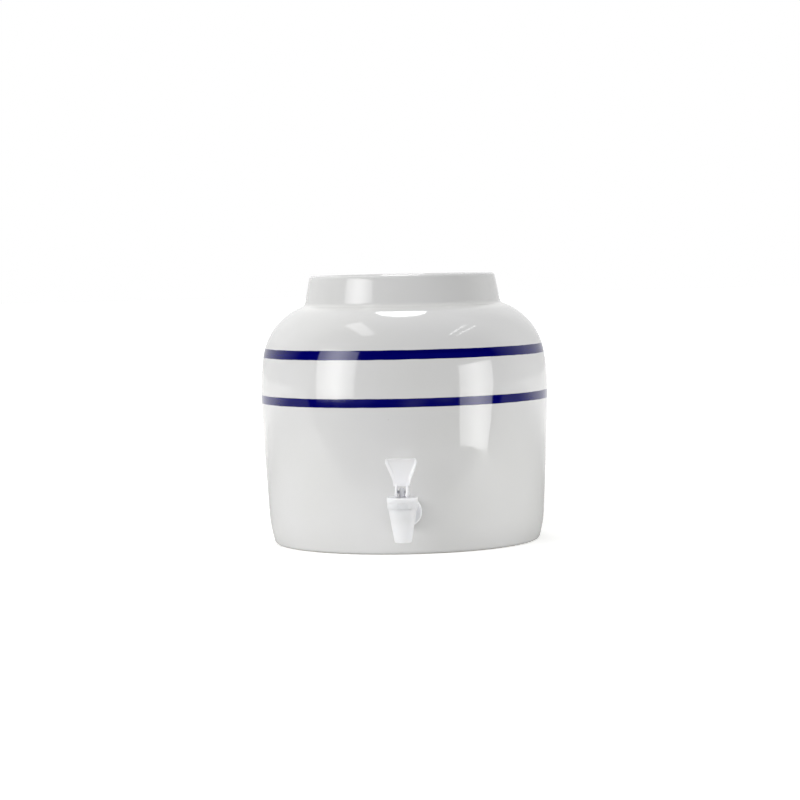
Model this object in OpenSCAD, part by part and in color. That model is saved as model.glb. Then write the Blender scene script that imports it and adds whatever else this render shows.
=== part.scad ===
// Porcelain crock for a water bottle, with a lift-stem tap.
// The origin is the centre of the foot on the ground, +Z is up and the tap faces -Y.

/* [Crock] */
// Height from the ground to the rim
crock_h = 247.65; // [225:0.05:300]
// Largest diameter, at the belly
belly_d = 266.7; // [260:0.1:325]
// Diameter where the wall meets the rounded foot
base_d = 247.65; // [205:0.05:252]
// Outside diameter of the neck at the rim
neck_d = 171.45; // [165:0.05:205]
// Clear diameter of the mouth
mouth_d = 152.4; // [130:0.1:156]
// Height of the neck above the shoulder
neck_h = 27; // [18:0.5:40]
// Lean of the neck's outside from upright, in degrees
neck_lean = 10.9; // [4:0.1:16]
// Thickness of the wall
wall_t = 8; // [5:0.5:10]
// Thickness of the floor
floor_t = 8; // [5:0.5:12]

/* [Crock curves] */
// Radius of the shoulder
shoulder_r = 58; // [40:0.5:66]
// Steepest turn of the shoulder before it runs straight to the neck, in degrees
shoulder_turn = 68; // [55:0.5:75]
// Radius of the easy curve between belly and shoulder
upper_belly_r = 147; // [100:1:200]
// Turn of that easy curve, in degrees
upper_belly_turn = 12.8; // [5:0.1:20]
// Drop from the belly to where the straight wall starts to swell
swell_drop = 54.3; // [30:0.1:80]
// Radius of the heel's curve
heel_r = 121; // [90:1:160]
// Height at which the heel's curve ends
heel_h = 28.2; // [20:0.1:34]
// Rounding of the foot's outer edge
foot_r = 4; // [1.5:0.5:5]
// Width of the unglazed ring that the crock stands on
foot_ring_w = 11; // [6:0.5:16]
// Depth of the hollow under the floor
foot_hollow = 3; // [1.5:0.5:5]
// Rounding of the rim's outer edge
rim_outer_r = 3.5; // [1:0.5:4]
// Rounding of the rim's inner edge
rim_inner_r = 3; // [1:0.5:4]
// Rounding in the corner between neck and shoulder
neck_fillet_r = 3; // [1:0.5:4]
// Rounding inside, between the floor and the wall
floor_fillet_r = 16; // [8:1:20]
// Rounding inside, under the neck
throat_r = 4; // [2:0.5:5]

/* [Bands] */
// Drop from the rim to the middle of the upper band
upper_band_drop = 70.5; // [64:0.5:80]
// Width of the upper band
upper_band_w = 7.8; // [3:0.1:12]
// Drop from the rim to the middle of the lower band
lower_band_drop = 112.4; // [95:0.1:125]
// Width of the lower band
lower_band_w = 6.4; // [3:0.1:12]
// Depth of the band's layer in the glaze
band_t = 0.6; // [0.4:0.1:1]

/* [Tap body] */
// Height of the shank's axis above the ground
tap_z = 39.6; // [39:0.1:60]
// Turn of the tap to its left of straight ahead, in degrees
tap_yaw = 7; // [-8:0.5:8]
// Distance from the crock's face to the upright axis of the tap
tap_reach = 32; // [30:0.5:45]
// Diameter of the shank's thread
shank_d = 16; // [13:0.5:19.5]
// Diameter of the water way through the shank
waterway_d = 8; // [5:0.5:8.5]
// Length of shank left past the nut
shank_tail = 5; // [2:0.5:8]
// Slack between the shank and the hole in the porcelain, all round
hole_slack = 2; // [1.5:0.1:3]
// How far the flange reaches past the hole, all round
flange_cover = 3.7; // [2.5:0.1:6]
// Thickness of the flange
flange_t = 3; // [2:0.5:4]
// Width of the raised rim on the flange's face
flange_rim_w = 1.2; // [0.8:0.1:2]
// Height of that rim
flange_rim_h = 0.5; // [0.2:0.1:1]
// Diameter of the arm under the bonnet
arm_d = 11; // [10.5:0.1:11.1]
// Length of the arm's flare to the flange
arm_flare_l = 10; // [5:0.5:10]
// Diameter of the spout under the bonnet
spout_top_d = 25.1; // [24:0.1:26]
// Diameter of the spout at its tip
spout_tip_d = 14.7; // [14:0.1:17]
// Drop from the shank's axis to the spout's tip
spout_drop = 24.3; // [18:0.1:28]
// Diameter of the outlet
outlet_d = 11; // [8:0.5:11.5]
// Diameter of the valve chamber
chamber_d = 17.6; // [16.5:0.1:18]
// Rise from the shank's axis to the bonnet's foot
bonnet_rise = 5.6; // [5:0.1:8]
// Height of the threaded collar inside the bonnet
collar_h = 5.2; // [4:0.1:7]
// Diameter of that collar's thread
collar_d = 22; // [21:0.1:22.4]

/* [Bonnet] */
// Diameter of the bonnet's rim
bonnet_d = 27.1; // [26.5:0.1:29]
// Thickness of the bonnet's top
bonnet_top_t = 2.8; // [2:0.1:4]
// Height of the plain rim above the grip ribs
bonnet_rim_h = 4.2; // [3:0.1:6]
// Depth of the skirt between the grip ribs
grip_depth = 0.35; // [0.2:0.05:0.6]
// Number of grip ribs
grip_count = 8; // [6:1:16]
// Width of a grip rib
grip_w = 1.3; // [1:0.1:2]
// Turn at which the screwed bonnet has stopped, in degrees
grip_turn = 4; // [-22:1:22]

/* [Stem, cup and spring] */
// Diameter of the stem
stem_d = 5.2; // [4.6:0.1:7.2]
// Diameter of the collar that the spring stands on
stem_collar_d = 10.4; // [9:0.1:10.6]
// Thickness of that collar
stem_collar_t = 2; // [1:0.1:2.5]
// Rise from the shank's axis to the underside of that collar
stem_collar_rise = 1.9; // [1:0.1:2.5]
// Diameter of the bulb that the cup grips
bulb_d = 6.8; // [6:0.1:7.4]
// Length of the bulb
bulb_l = 4; // [3:0.1:5]
// Diameter of the neck above the bulb
bulb_neck_d = 4.4; // [3:0.1:5]
// Length of that neck
bulb_neck_l = 3.4; // [2:0.1:4]
// Outside diameter of the seat cup's wall
cup_d = 14; // [13.6:0.1:15]
// Thickness of the seat cup's wall
cup_wall = 1.2; // [0.8:0.1:1.3]
// Thickness of the cup's flange under the bonnet
cup_flange_t = 1.6; // [1:0.1:2.5]
// Diameter of the spring's wire
wire_d = 0.9; // [0.6:0.05:1]
// Mean diameter of the spring
spring_d = 9.2; // [8.8:0.1:9.4]
// Number of turns of the spring
spring_turns = 4.5; // [3:0.5:5]

/* [Lever] */
// Lift of the stem for each radian of tilt, the base radius of the cam's involute
cam_rate = 4; // [3:0.1:5]
// Depth of the cam's flat below the pin
cam_flat_depth = 4.5; // [4:0.1:6]
// Tilt up to which the cam is cut, in degrees
cam_end = 50; // [45:1:60]
// Diameter of the lever's pin
pin_d = 2.5; // [2:0.1:3]
// Width over the two cheeks
cheeks_w = 11.2; // [10.6:0.1:13]
// Space between the lever's slot and the stem, each side
slot_side_gap = 1.4; // [0.15:0.05:1.6]
// Height of the slot above the pin
slot_rise = 5.1; // [3.9:0.1:6]
// Rise from the pin to the top of the paddle
paddle_rise = 29.5; // [24:0.1:36]
// Width of the paddle at its top
paddle_top_w = 27.3; // [20:0.1:32]
// Width of the paddle where it starts to flare
paddle_waist_w = 15.4; // [14:0.1:18]
// Width of the paddle at its foot
paddle_foot_w = 14; // [13:0.1:16]
// Height of the nearly straight stretch at the paddle's foot
paddle_waist_h = 5.1; // [4:0.1:8]
// Height of the upright edge at the paddle's top corners
paddle_edge_h = 4.2; // [2:0.1:5]
// Thickness of the lever above its slot
paddle_foot_t = 6.4; // [5:0.1:8]
// Thickness of the paddle at its top
paddle_top_t = 4.4; // [3:0.1:6]
// Radius of the lever's forward bow
paddle_bow_r = 60; // [45:1:120]
// Width of the raised border round the finger field
field_border = 2.3; // [1.5:0.1:3]
// Depth of the finger field at its top
field_depth = 2; // [0.5:0.1:2.4]

/* [Clamping] */
// Gap between flange and porcelain where the wall comes nearest
outer_gasket_t = 1.1; // [0.5:0.1:3]
// Gap between nut and porcelain where the wall comes nearest
inner_gasket_t = 0.8; // [0.5:0.1:3]
// How far the gaskets stop short of the flange's edge
gasket_inset = 1; // [0.5:0.1:2]
// Thickness of the nut
nut_t = 7; // [5:0.5:9]
// Width of plastic between the nut's thread and its flats
nut_wall = 4.5; // [4:0.5:7]
// Thickness of the nut's round washer face
nut_flange_t = 2; // [1:0.5:3]
// How far the washer face reaches past the nut's corners
nut_flange_w = 0.4; // [0:0.1:2]

/* [Fits] */
// Radial clearance of a screwed or pressed fit
fit_gap = 0.02; // [0.01:0.01:0.05]
// Radial clearance of a turning or sliding fit
run_gap = 0.08; // [0.04:0.01:0.1]
// Gap left where soft and hard pieces seat on each other
seat_gap = 0.1; // [0.05:0.05:0.3]

/* [Hidden] */

porcelain = [0.90, 0.90, 0.87];
cobalt = [0.07, 0.06, 0.42];
tap_white = [0.95, 0.95, 0.97];
silicone = [0.80, 0.82, 0.82];
steel = [0.70, 0.71, 0.73];
round_fn = 96;
wall_fn = 360;
chord_error = 0.03;
past = 1;

// Points along an arc, close enough together to stay within the chord error
function arc_steps(r, sweep) = max(1, ceil(abs(sweep) / (2 * acos(1 - chord_error / max(r, 4 * chord_error)))));
function arc_points(c, r, from, to) =
    let (n = arc_steps(r, to - from))
    [for (i = [0:n]) c + r * [cos(from + (to - from) * i / n), sin(from + (to - from) * i / n)]];

// An outline whose points are [x, y, radius], with each corner rounded by its radius
function unit(v) = v / norm(v);
function near_turn(a) = a > 180 ? a - 360 : a < -180 ? a + 360 : a;
function corner(a, b, c, r) =
    let (
        u = unit(a - b),
        v = unit(c - b),
        half = acos(max(-1, min(1, u * v))) / 2,
        centre = b + unit(u + v) * r / sin(half),
        start = b + u * r / tan(half) - centre,
        stop = b + v * r / tan(half) - centre,
        from = atan2(start.y, start.x)
    )
    arc_points(centre, r, from, from + near_turn(atan2(stop.y, stop.x) - from));
function flat(p) = [p.x, p.y];
function rounded(pts) =
    let (n = len(pts))
    [
        for (i = [0:n - 1])
            each len(pts[i]) < 3 || pts[i][2] == 0
                ? [flat(pts[i])]
                : corner(flat(pts[(i + n - 1) % n]), flat(pts[i]), flat(pts[(i + 1) % n]), pts[i][2])
    ];

// Shoulder: the neck's foot fixes the top, and the curves hang from it
belly_r = belly_d / 2;
mouth_r = mouth_d / 2;
neck_foot_z = crock_h - neck_h;
neck_foot_r = neck_d / 2 + neck_h * tan(neck_lean);
shoulder_x = belly_r - upper_belly_r + (upper_belly_r - shoulder_r) * cos(upper_belly_turn);
shoulder_run = 2 * neck_fillet_r;
shoulder_top = min(shoulder_turn, acos((neck_foot_r + shoulder_run - shoulder_x) / shoulder_r));
shoulder_end_x = shoulder_x + shoulder_r * cos(shoulder_top);
shoulder_end_z = neck_foot_z - (shoulder_end_x - neck_foot_r) / tan(shoulder_top);
shoulder_z = shoulder_end_z - shoulder_r * sin(shoulder_top);
belly_z = shoulder_z - (upper_belly_r - shoulder_r) * sin(upper_belly_turn);
shoulder_c = [shoulder_x, shoulder_z];
upper_belly_c = [belly_r - upper_belly_r, belly_z];

// Wall: the one straight taper that runs from the end of the heel's curve into the swell below the belly
swell_z = belly_z - swell_drop;
function heel_turn(taper) = asin((heel_h - foot_r + heel_r * sin(taper)) / (heel_r - foot_r));
function heel_centre(taper) =
    [base_d / 2 - heel_r * cos(heel_turn(taper)), foot_r + (heel_r - foot_r) * sin(heel_turn(taper))];
function taper_miss(taper) =
    belly_r - swell_drop * tan(taper / 2) - (swell_z - heel_h) * tan(taper)
    - heel_centre(taper).x - heel_r * cos(taper);
function solve_taper(low, high, rounds) =
    let (middle = (low + high) / 2)
    rounds == 0 ? middle
    : taper_miss(middle) > 0 ? solve_taper(middle, high, rounds - 1)
    : solve_taper(low, middle, rounds - 1);
wall_taper = solve_taper(0, 40, 40);
lower_belly_r = swell_drop / sin(wall_taper);
lower_belly_c = [belly_r - lower_belly_r, belly_z];
heel_a = heel_turn(wall_taper);
heel_c = heel_centre(wall_taper);
foot_c = heel_c + (heel_r - foot_r) * [cos(heel_a), -sin(heel_a)];
floor_z = foot_hollow + floor_t;

// Radius of the straight wall at a height, at a depth below the outer face
function wall_r(z, depth) =
    let (p = heel_c + (heel_r - depth) * [cos(wall_taper), -sin(wall_taper)])
    p.x + (z - p.y) * tan(wall_taper);

// Upper wall from the swell below the belly to the shoulder, at a depth below the outer face
function upper_wall(depth) = concat(
    arc_points(lower_belly_c, lower_belly_r - depth, -wall_taper, 0),
    arc_points(upper_belly_c, upper_belly_r - depth, 0, upper_belly_turn),
    arc_points(shoulder_c, shoulder_r - depth, upper_belly_turn, shoulder_top)
);
function outer_wall(depth) = concat(
    arc_points(heel_c, heel_r - depth, -heel_a, -wall_taper),
    upper_wall(depth)
);
function reversed(list) = [for (i = [len(list) - 1:-1:0]) list[i]];

// Height of the shoulder's straight run at a radius, at a depth below the outer face
function shoulder_run_z(r, depth) =
    shoulder_z + (shoulder_r - depth) * sin(shoulder_top)
    + (shoulder_x + (shoulder_r - depth) * cos(shoulder_top) - r) / tan(shoulder_top);

// Outside and inside of the crock. The gap moves either face off the porcelain, for what seats on it
function outside(gap) = concat(
    [[0, foot_hollow - gap]],
    [[foot_c.x - foot_ring_w - foot_hollow, foot_hollow - gap, 2]],
    [[foot_c.x - foot_ring_w, -gap, 1]],
    arc_points(foot_c, foot_r + gap, -90, -heel_a),
    outer_wall(-gap),
    [[neck_foot_r + gap, neck_foot_z + gap, neck_fillet_r]],
    [[neck_d / 2 + gap, crock_h + gap, rim_outer_r]]
);
function inside(gap) = concat(
    [[mouth_r - gap, shoulder_run_z(mouth_r - gap, wall_t + gap), throat_r]],
    reversed(upper_wall(wall_t + gap)),
    [[wall_r(floor_z + gap, wall_t + gap), floor_z + gap, floor_fillet_r]],
    [[0, floor_z + gap]]
);
module crock_section() {
    polygon(rounded(concat(outside(0), [[mouth_r, crock_h, rim_inner_r]], inside(0))));
}
module filled_section(gap) {
    polygon(rounded(concat(outside(gap), [[0, crock_h + gap]])));
}
module hollow_section(gap) {
    polygon(rounded(concat([[0, crock_h], [mouth_r - gap, crock_h]], inside(gap))));
}

// Tap frame: origin where the shank's axis crosses the upright axis, -Y forward, turned by the yaw
shank_r = shank_d / 2;
face_r = wall_r(tap_z, 0);
module at_tap() {
    translate([0, -face_r, tap_z])
        rotate([0, 0, -tap_yaw])
            translate([0, -tap_reach, 0])
                children();
}
module along_shank(from) {
    translate([0, from, 0])
        rotate([-90, 0, 0])
            children();
}
module turned(fn = round_fn) {
    rotate_extrude($fn = fn)
        children();
}

// How near the leaning wall comes to a disc on the shank, for each unit of the disc's radius
wall_lean = norm([tan(tap_yaw), tan(wall_taper)]);
function wall_sag(r) = r ^ 2 / (2 * wall_r(tap_z, wall_t));

// Sizes and places along the shank, from the upright axis
hole_r = shank_r + hole_slack;
flange_r = hole_r + flange_cover;
gasket_r = flange_r - gasket_inset;
nut_corner_r = (shank_r + nut_wall) / cos(30);
nut_r = max(gasket_r, nut_corner_r) + nut_flange_w;
porcelain_l = wall_t / (cos(tap_yaw) * cos(wall_taper));
flange_back = tap_reach - outer_gasket_t - flange_r * wall_lean;
flange_front = flange_back - flange_t;
nut_face = tap_reach + porcelain_l + inner_gasket_t + nut_r * wall_lean + wall_sag(nut_r);
shank_end = nut_face + nut_t + shank_tail;

// Heights in the tap, from the shank's axis
collar_top = bonnet_rise + collar_h;
bonnet_under = collar_top + cup_flange_t;
bonnet_top = bonnet_under + bonnet_top_t;
pin_rise = bonnet_top + seat_gap + cam_flat_depth;
seat_top = -waterway_d / 2 - 0.9;
seat_bottom = seat_top - (chamber_d - outlet_d) / 2;
spout_r_slope = (spout_top_d - spout_tip_d) / 2 / (bonnet_rise + spout_drop);
collar_over = stem_collar_rise + stem_collar_t;
bulb_top = stem_collar_rise - bulb_neck_l;
bulb_bottom = bulb_top - bulb_l;
spring_foot = collar_over + seat_gap;
spring_head = bonnet_under - seat_gap;

// Height of the conical valve seat at a radius
function seat_z(r) = seat_top - (chamber_d / 2 - r);

module crock() {
    color(porcelain)
        difference() {
            turned(wall_fn) crock_section();
            translate([0, -face_r, tap_z])
                rotate([90, 0, 0])
                    cylinder(r = hole_r, h = 6 * wall_t, center = true, $fn = round_fn);
            turned(wall_fn) band_section(crock_h - upper_band_drop, upper_band_w, band_t);
            turned(wall_fn) band_section(crock_h - lower_band_drop, lower_band_w, band_t);
        }
}

// Section of a band: the strip of the wall's skin between two heights
module band_section(middle, width, depth) {
    intersection() {
        polygon(concat(
            [for (p = outer_wall(0)) p],
            reversed([for (p = outer_wall(depth)) p])
        ));
        translate([0, middle - width / 2])
            square([belly_d, width]);
    }
}

module band(drop, width) {
    color(cobalt)
        turned(wall_fn) band_section(crock_h - drop, width - 2 * fit_gap, band_t - fit_gap);
}

module upper_band() {
    band(upper_band_drop, upper_band_w);
}

module lower_band() {
    band(lower_band_drop, lower_band_w);
}

// Spout, arm, flange and shank in one moulding
module tap_body() {
    spout_wall = spout_tip_d / 2 - outlet_d / 2;
    color(tap_white)
        at_tap()
            difference() {
                union() {
                    turned()
                        polygon(rounded([
                            [0, -spout_drop],
                            [spout_tip_d / 2, -spout_drop, spout_wall / 2],
                            [spout_top_d / 2, bonnet_rise, 0.4],
                            [collar_d / 2, bonnet_rise],
                            [collar_d / 2, collar_top, 0.5],
                            [0, collar_top]
                        ]));
                    along_shank(0)
                        cylinder(d = arm_d, h = flange_back, $fn = round_fn);
                    along_shank(flange_front - arm_flare_l)
                        cylinder(d1 = arm_d, d2 = shank_d, h = arm_flare_l + flange_t / 2, $fn = round_fn);
                    along_shank(flange_front)
                        turned()
                            polygon(rounded([
                                [0, flange_rim_h],
                                [flange_r - flange_rim_w, flange_rim_h, 0.4],
                                [flange_r - flange_rim_w, 0, 0.2],
                                [flange_r, 0, 0.8],
                                [flange_r, flange_t, 0.5],
                                [0, flange_t]
                            ]));
                    along_shank(flange_back - past)
                        cylinder(r = shank_r, h = shank_end - flange_back + past, $fn = round_fn);
                }
                turned()
                    polygon([
                        [0, -spout_drop - past],
                        [outlet_d / 2, -spout_drop - past],
                        [outlet_d / 2, seat_bottom],
                        [chamber_d / 2, seat_top],
                        [chamber_d / 2, collar_top + past],
                        [0, collar_top + past]
                    ]);
                along_shank(0)
                    cylinder(d = waterway_d, h = shank_end + past, $fn = round_fn);
            }
}

// Screwed cap with a plain rim over a ribbed skirt
module bonnet() {
    rim_foot = bonnet_top - bonnet_rim_h;
    skirt_r = bonnet_d / 2 - grip_depth;
    color(tap_white)
        at_tap()
            difference() {
                union() {
                    turned()
                        polygon(rounded([
                            [0, bonnet_rise],
                            [skirt_r, bonnet_rise, 0.3],
                            [skirt_r, rim_foot],
                            [bonnet_d / 2, rim_foot + grip_depth],
                            [bonnet_d / 2, bonnet_top, 0.8],
                            [0, bonnet_top]
                        ]));
                    intersection() {
                        translate([0, 0, bonnet_rise])
                            cylinder(d = bonnet_d, h = rim_foot - bonnet_rise + grip_depth, $fn = round_fn);
                        for (i = [0:grip_count - 1])
                            rotate([0, 0, grip_turn + (i + 0.5) * 360 / grip_count - 90])
                                translate([skirt_r - past, -grip_w / 2, bonnet_rise])
                                    cube([2 * past, grip_w, bonnet_rim_h + collar_h]);
                    }
                }
                translate([0, 0, bonnet_rise - past])
                    cylinder(d = collar_d + 2 * fit_gap, h = bonnet_under - bonnet_rise + past, $fn = round_fn);
                cylinder(d = stem_d + 2 * run_gap, h = bonnet_top + past, $fn = round_fn);
            }
}

// Stem: a bulb in the cup, a collar under the spring and a round head on the pin
module stem() {
    stem_r = stem_d / 2;
    color(tap_white)
        at_tap()
            difference() {
                union() {
                    turned()
                        polygon(rounded([
                            [0, bulb_bottom],
                            [bulb_d / 2, bulb_bottom, 1],
                            [bulb_d / 2, bulb_top, 0.5],
                            [bulb_neck_d / 2, bulb_top],
                            [bulb_neck_d / 2, stem_collar_rise],
                            [stem_collar_d / 2, stem_collar_rise, 0.3],
                            [stem_collar_d / 2, collar_over, 0.3],
                            [stem_r, collar_over],
                            [stem_r, pin_rise],
                            [0, pin_rise]
                        ]));
                    translate([0, 0, pin_rise])
                        sphere(r = stem_r, $fn = round_fn);
                }
                translate([0, 0, pin_rise])
                    rotate([0, 90, 0])
                        cylinder(d = pin_d + 2 * run_gap, h = stem_d + 2 * past, center = true, $fn = round_fn);
            }
}

// Silicone cup: its plug closes the seat, its wall keeps water off the spring, its flange seals the bonnet
module seat_cup() {
    outer = cup_d / 2;
    inner = outer - cup_wall;
    tip = outlet_d / 2;
    lip_top = stem_collar_rise - seat_gap;
    seat_lift = seat_gap * sqrt(2);
    color(silicone)
        at_tap()
            difference() {
                turned()
                    polygon(rounded([
                        [0, seat_z(tip) + seat_lift],
                        [tip, seat_z(tip) + seat_lift, 0.3],
                        [outer, seat_z(outer) + seat_lift, 0.3],
                        [outer, collar_top, 0.6],
                        [collar_d / 2 - seat_gap, collar_top],
                        [collar_d / 2 - seat_gap, bonnet_under],
                        [inner, bonnet_under, 0.4],
                        [inner, lip_top, 0.4],
                        [0, lip_top]
                    ]));
                turned()
                    polygon(rounded([
                        [0, bulb_bottom - seat_gap],
                        [bulb_d / 2 + seat_gap, bulb_bottom - seat_gap, 1],
                        [bulb_d / 2 + seat_gap, bulb_top + seat_gap, 0.5],
                        [bulb_neck_d / 2 + seat_gap, bulb_top + seat_gap],
                        [bulb_neck_d / 2 + seat_gap, lip_top + past],
                        [0, lip_top + past]
                    ]));
            }
}

// Helical wire as one tube, swept along its own centre line
wire_sides = 8;
turn_steps = 24;
spring_steps = spring_turns * turn_steps;
spring_rise = spring_head - spring_foot - wire_d;
function helix_point(i) =
    let (a = 360 * i / turn_steps)
    [
        spring_d / 2 * cos(a),
        spring_d / 2 * sin(a),
        spring_foot + wire_d / 2 + spring_rise * i / spring_steps
    ];
function wire_ring(i) =
    let (a = 360 * i / turn_steps, out = [cos(a), sin(a), 0])
    [
        for (k = [0:wire_sides - 1])
            helix_point(i) + wire_d / 2 * (out * cos(360 * k / wire_sides) + [0, 0, sin(360 * k / wire_sides)])
    ];
spring_gap = min([
    for (i = [0:spring_steps - turn_steps / 2])
        for (j = [i + turn_steps / 2:spring_steps])
            norm(helix_point(i) - helix_point(j)) - wire_d
]);

module return_spring() {
    last = spring_steps;
    echo("least gap between the spring's turns", spring_gap);
    color(steel)
        at_tap()
            polyhedron(
                points = [for (i = [0:last]) each wire_ring(i)],
                faces = concat(
                    [for (k = [1:wire_sides - 2]) [0, k, k + 1]],
                    [
                        for (i = [0:last - 1])
                            for (k = [0:wire_sides - 1])
                                let (a = i * wire_sides + k, b = i * wire_sides + (k + 1) % wire_sides)
                                each [[a, a + wire_sides, b], [b, a + wire_sides, b + wire_sides]]
                    ],
                    [for (k = [1:wire_sides - 2]) [for (corner_k = [0, k + 1, k]) last * wire_sides + corner_k]]
                )
            );
}

// Extrusions across the lever: a side view as [forward, up] and a front view as [right, up]
module side_view(width) {
    rotate([90, 0, -90])
        linear_extrude(width, center = true)
            children();
}
module front_view(depth) {
    rotate([90, 0, 0])
        linear_extrude(depth, center = true)
            children();
}

// Cam foot: a flat twice the rate wide, then an involute on which every radian of tilt lifts by the rate
cam_step = 5;
function cam_point(tilt) =
    (cam_flat_depth + cam_rate * tilt * PI / 180) * [sin(tilt), -cos(tilt)] + cam_rate * [cos(tilt), sin(tilt)];
function behind(list) = [for (i = [len(list) - 1:-1:0]) [-list[i].x, list[i].y]];
cam_heel = [for (tilt = [0:cam_step:cam_end]) cam_point(tilt)];

// Blade of the lever: thickness and forward bow at a height above the pin
throat_rise = slot_rise + 1;
function blade_share(up) = (up - throat_rise) / (paddle_rise - throat_rise);
function blade_t(up) = paddle_foot_t + (paddle_top_t - paddle_foot_t) * blade_share(up);
function blade_bow(up) = paddle_bow_r - sqrt(paddle_bow_r ^ 2 - (up - throat_rise) ^ 2);
blade_steps = 8;
blade_ups = [for (i = [0:blade_steps]) throat_rise + (paddle_rise - throat_rise) * i / blade_steps];
blade_front = [for (up = blade_ups) [blade_bow(up) + blade_t(up) / 2, up]];
blade_back = [for (up = blade_ups) [blade_bow(up) - blade_t(up) / 2, up]];
paddle_foot_rise = slot_rise;
paddle_flare_rise = paddle_foot_rise + paddle_waist_h;
paddle_edge_rise = paddle_rise - paddle_edge_h;
slot_w = stem_d + 2 * slot_side_gap;

// Right half of the paddle's front outline, drawn in by a border
function paddle_side(inset) = [
    [paddle_foot_w / 2 - inset, paddle_foot_rise + inset / 2],
    [paddle_waist_w / 2 - inset, paddle_flare_rise],
    [paddle_top_w / 2 - inset, paddle_edge_rise],
    [paddle_top_w / 2 - inset, paddle_rise - inset * 0.8, 1.2]
];
function mirrored(list) = [for (i = [len(list) - 1:-1:0]) [-list[i].x, list[i].y, len(list[i]) > 2 ? list[i][2] : 0]];

module finger_field() {
    floor_curve = [
        for (i = [0:blade_steps])
            blade_front[i] - [0.2 + (field_depth - 0.2) * i / blade_steps, 0]
    ];
    intersection() {
        front_view(8 * paddle_foot_t)
            polygon(rounded(concat(paddle_side(field_border), mirrored(paddle_side(field_border)))));
        side_view(2 * paddle_top_w)
            polygon(concat(floor_curve, [[4 * paddle_foot_t, paddle_rise + past], [4 * paddle_foot_t, throat_rise]]));
    }
}

// Forked lever: cam feet, cheeks and flared paddle
module lever() {
    cheek = cheeks_w / 2;
    color(tap_white)
        at_tap()
            translate([0, 0, pin_rise])
                difference() {
                    intersection() {
                        front_view(8 * paddle_foot_t)
                            polygon(rounded(concat(
                                [[cheek, -cam_flat_depth - past], [cheek, paddle_foot_rise]],
                                paddle_side(0),
                                mirrored(paddle_side(0)),
                                [[-cheek, paddle_foot_rise], [-cheek, -cam_flat_depth - past]]
                            )));
                        side_view(2 * paddle_top_w)
                            polygon(concat(cam_heel, blade_front, reversed(blade_back), behind(cam_heel)));
                    }
                    translate([-slot_w / 2, -8 * paddle_foot_t, -cam_flat_depth - past])
                        cube([slot_w, 16 * paddle_foot_t, cam_flat_depth + past + slot_rise]);
                    rotate([0, 90, 0])
                        cylinder(d = pin_d + 2 * fit_gap, h = cheeks_w + 2 * past, center = true, $fn = round_fn);
                    finger_field();
                }
}

module lever_pin() {
    pin_inset = 0.3;
    color(steel)
        at_tap()
            translate([0, 0, pin_rise])
                rotate([0, 90, 0])
                    cylinder(d = pin_d, h = cheeks_w - 2 * pin_inset, center = true, $fn = round_fn);
}

// Ring along the shank, from which a gasket is cut to the wall that it is squeezed against
module gasket_ring(from, to) {
    at_tap()
        along_shank(from)
            difference() {
                cylinder(r = gasket_r, h = to - from, $fn = round_fn);
                translate([0, 0, -past])
                    cylinder(r = shank_r + seat_gap, h = to - from + 2 * past, $fn = round_fn);
            }
}

module outer_gasket() {
    color(silicone)
        difference() {
            gasket_ring(flange_back, nut_face);
            turned(wall_fn) filled_section(seat_gap);
        }
}

module inner_gasket() {
    color(silicone)
        intersection() {
            gasket_ring(flange_back, nut_face);
            turned(wall_fn) hollow_section(seat_gap);
        }
}

// Hexagon nut with a round washer face
module clamp_nut() {
    color(tap_white)
        at_tap()
            along_shank(nut_face)
                difference() {
                    union() {
                        cylinder(r = nut_r, h = nut_flange_t, $fn = round_fn);
                        cylinder(r = nut_corner_r, h = nut_t, $fn = 6);
                    }
                    translate([0, 0, -past])
                        cylinder(r = shank_r + fit_gap, h = nut_t + 2 * past, $fn = round_fn);
                }
}

crock();
upper_band();
lower_band();
tap_body();
bonnet();
lever();
lever_pin();
stem();
seat_cup();
return_spring();
outer_gasket();
inner_gasket();
clamp_nut();
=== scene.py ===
import math

from functools import partial

import bmesh
import bpy
from bpy.props import FloatProperty, FloatVectorProperty, IntProperty, PointerProperty
from bpy.types import Operator, Panel, PropertyGroup
from mathutils import Matrix, Vector


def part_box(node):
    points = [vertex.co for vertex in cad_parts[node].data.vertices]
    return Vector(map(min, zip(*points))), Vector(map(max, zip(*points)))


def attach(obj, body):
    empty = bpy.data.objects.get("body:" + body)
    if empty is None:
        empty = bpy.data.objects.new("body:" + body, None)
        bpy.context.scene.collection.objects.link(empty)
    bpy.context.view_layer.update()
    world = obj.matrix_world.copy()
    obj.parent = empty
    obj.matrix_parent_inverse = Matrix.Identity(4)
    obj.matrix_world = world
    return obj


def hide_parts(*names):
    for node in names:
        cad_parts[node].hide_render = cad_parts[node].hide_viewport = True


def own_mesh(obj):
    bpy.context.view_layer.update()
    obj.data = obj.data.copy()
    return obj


bl_info = {
    "name": "Porcelain Water Crock",
    "version": (1, 0, 0),
    "blender": (4, 5, 0),
    "location": "View3D > Sidebar > Crock",
    "description": "Models a banded porcelain crock and its lift-stem tap around their CAD frame",
    "category": "Add Mesh",
}

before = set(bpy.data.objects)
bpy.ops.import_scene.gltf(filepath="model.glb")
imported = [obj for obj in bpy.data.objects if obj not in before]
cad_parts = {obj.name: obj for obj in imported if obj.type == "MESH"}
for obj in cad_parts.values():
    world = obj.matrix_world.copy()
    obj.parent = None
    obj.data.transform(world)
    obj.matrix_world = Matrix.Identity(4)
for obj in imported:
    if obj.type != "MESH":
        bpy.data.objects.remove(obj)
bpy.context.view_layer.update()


def linear(shade):
    """Turns an sRGB hex colour into linear red, green and blue, with full cover."""
    parts = [int(shade[i:i + 2], 16) / 255 for i in (1, 3, 5)]
    return (*(p / 12.92 if p <= 0.04045 else ((p + 0.055) / 1.055) ** 2.4 for p in parts), 1.0)


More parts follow.
